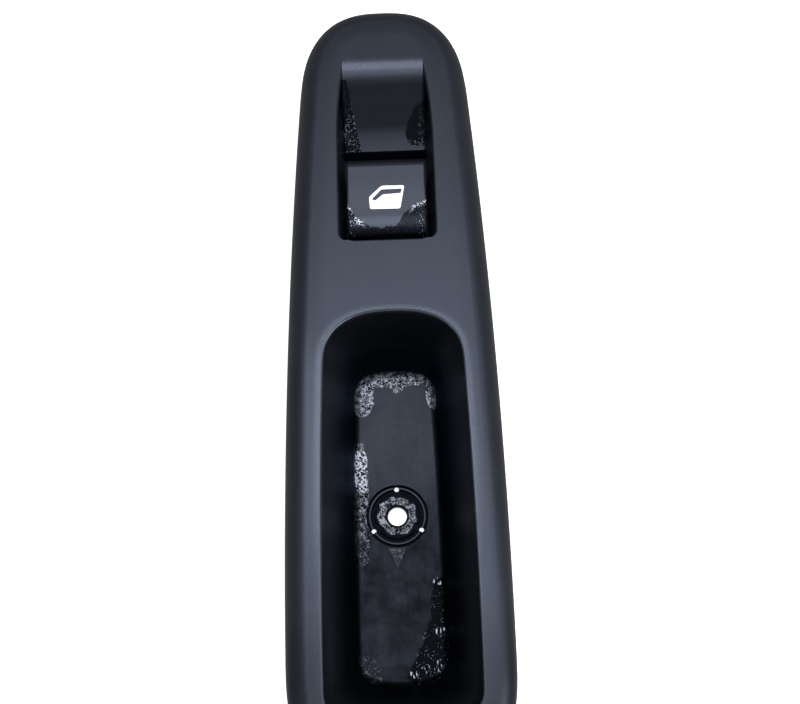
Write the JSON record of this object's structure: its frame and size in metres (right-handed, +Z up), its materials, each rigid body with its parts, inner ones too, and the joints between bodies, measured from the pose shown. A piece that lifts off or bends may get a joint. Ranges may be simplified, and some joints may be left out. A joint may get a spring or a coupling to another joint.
{
  "type": "power window switch",
  "caption": "Door pull trim panel with a window rocker key behind a finger scoop, a deep pull pocket with a screw seat in its floor, and the switch module underneath.",
  "frame": {"origin": "centre of the panel's length and width, on the flat underside of the pull pocket, on which the part rests", "axes": "+X across the panel, +Y along it towards the end with the rocker key, +Z up out of the panel's face"},
  "size_m": [0.0582, 0.2128, 0.0376],
  "materials": {
    "grained_slate_plastic": "fine grained, satin",
    "satin_key_plastic": "smooth satin",
    "black_housing_plastic": "matte",
    "natural_acetal": "satin",
    "clear_acrylic": "clear, polished",
    "board_laminate": "green solder mask",
    "spring_bronze": "bright",
    "tinned_brass": "tin plated",
    "spring_steel": "bright",
    "zinc_steel": "zinc plated",
    "led_resin": "glossy",
    "resistor_black": "matte"
  },
  "bodies": {
    "panel": {"trim_panel": "grained_slate_plastic", "panel_clip_head": "spring_steel", "panel_clip_tail": "spring_steel", "panel_clip_left": "spring_steel", "panel_clip_right": "spring_steel", "housing_screw_1": "zinc_steel", "housing_screw_2": "zinc_steel", "housing_screw_3": "zinc_steel", "housing_screw_4": "zinc_steel", "switch_housing": "black_housing_plastic", "base_cover": "black_housing_plastic", "circuit_board": "board_laminate", "backlight_led": "led_resin", "resistor_1": "resistor_black", "resistor_2": "resistor_black", "return_spring_front": "spring_steel", "return_spring_rear": "spring_steel", "terminal_pin_1": "tinned_brass", "terminal_pin_2": "tinned_brass", "terminal_pin_3": "tinned_brass", "terminal_pin_4": "tinned_brass", "terminal_pin_5": "tinned_brass", "terminal_pin_6": "tinned_brass"},
    "rocker": {"rocker_cap": "satin_key_plastic", "rocker_carrier": "black_housing_plastic", "light_guide": "clear_acrylic"},
    "slider": {"contact_slider": "natural_acetal", "contact_bridge_left": "spring_bronze", "contact_bridge_centre": "spring_bronze"}
  },
  "joints": [
    {"name": "rocker_tilt", "type": "hinge", "parent": "panel", "child": "rocker", "pos_m": [0, 0.0445, 0.0275], "axis": [1, 0, 0], "range_deg": [-7, 7], "stiffness_Nm_per_rad": 0.3},
    {"name": "slider_travel", "type": "slide", "parent": "panel", "child": "slider", "axis": [0, 1, 0], "range_m": [-0.00135, 0.00135], "deforming": ["return_spring_front", "return_spring_rear"]}
  ],
  "couplings": [
    {"joint": "slider_travel", "follows": "rocker_tilt", "m_per_rad": 0.011}
  ]
}
